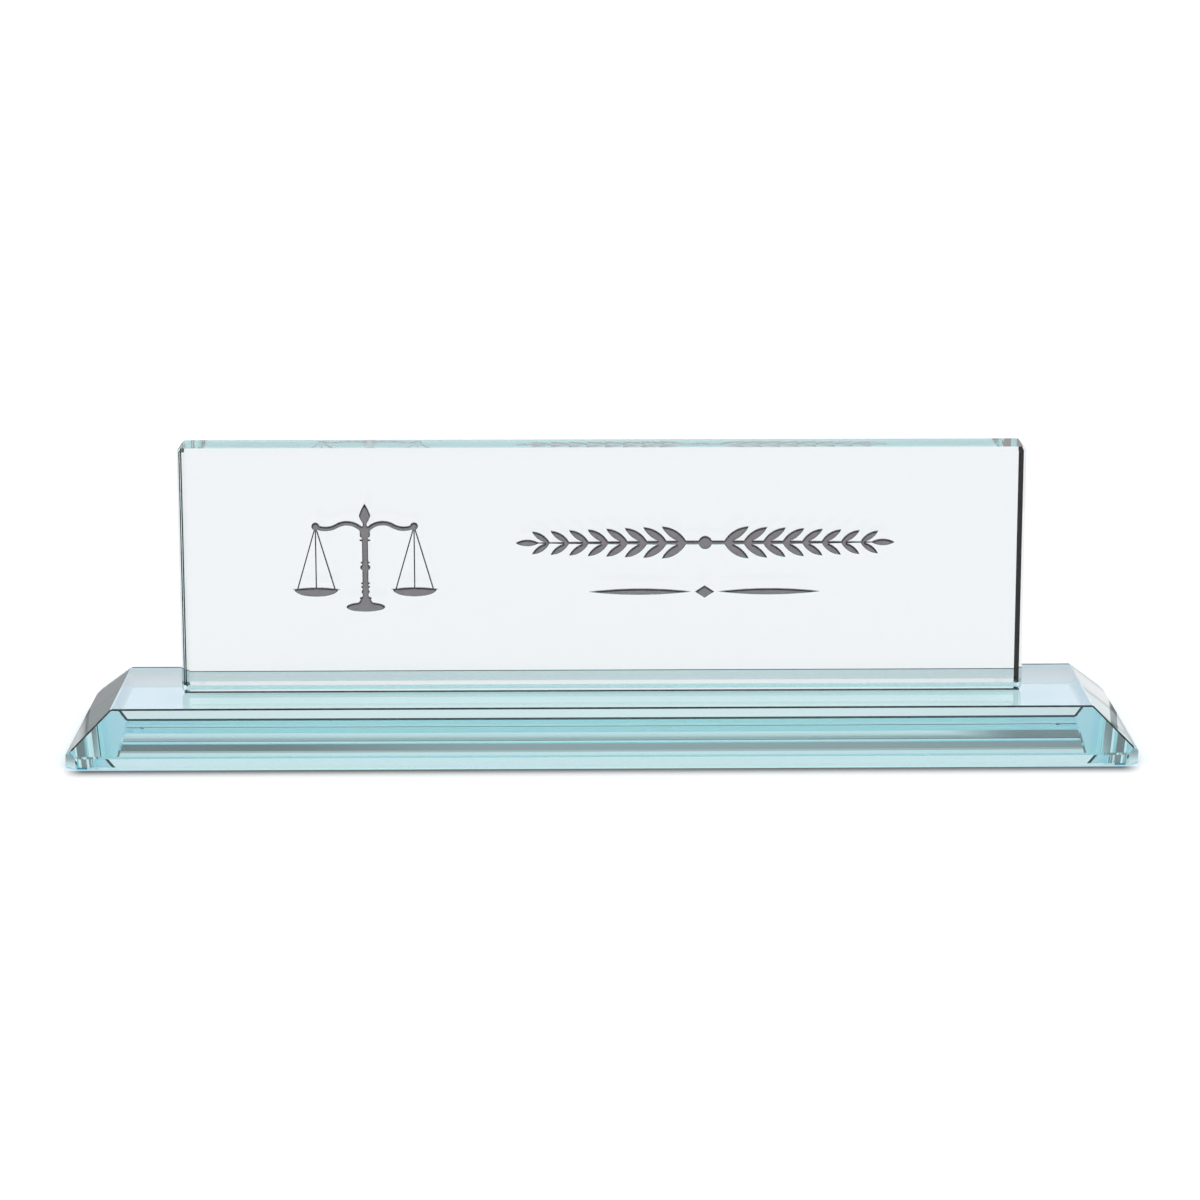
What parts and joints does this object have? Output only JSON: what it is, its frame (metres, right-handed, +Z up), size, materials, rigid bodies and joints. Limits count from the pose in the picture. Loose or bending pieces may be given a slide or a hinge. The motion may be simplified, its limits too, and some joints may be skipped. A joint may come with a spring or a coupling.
{
  "type": "desk name plate",
  "caption": "Desk name plate of clear jade glass: a slab with arrised edges and grey carved figures, bonded upright on a low bevelled base that rests on its flat underside.",
  "frame": {"origin": "middle of the base's underside, on the surface that the part stands on", "axes": "+X along the plate, to the right as seen from the front; +Y towards the back, so the carved front looks along -Y; +Z up"},
  "size_m": [0.254, 0.06, 0.0722],
  "materials": {
    "jade_glass": "polished, clear with a slight teal tint",
    "clear_adhesive": "clear cured film",
    "grey_paint": "matt paint on sand-carved glass"
  },
  "bodies": {
    "root": {"base_block": "jade_glass", "upright_plate": "jade_glass", "bond_film": "clear_adhesive", "emblem_infill": "grey_paint", "leaf_band_infill": "grey_paint", "swelled_rule_infill": "grey_paint"}
  },
  "joints": []
}
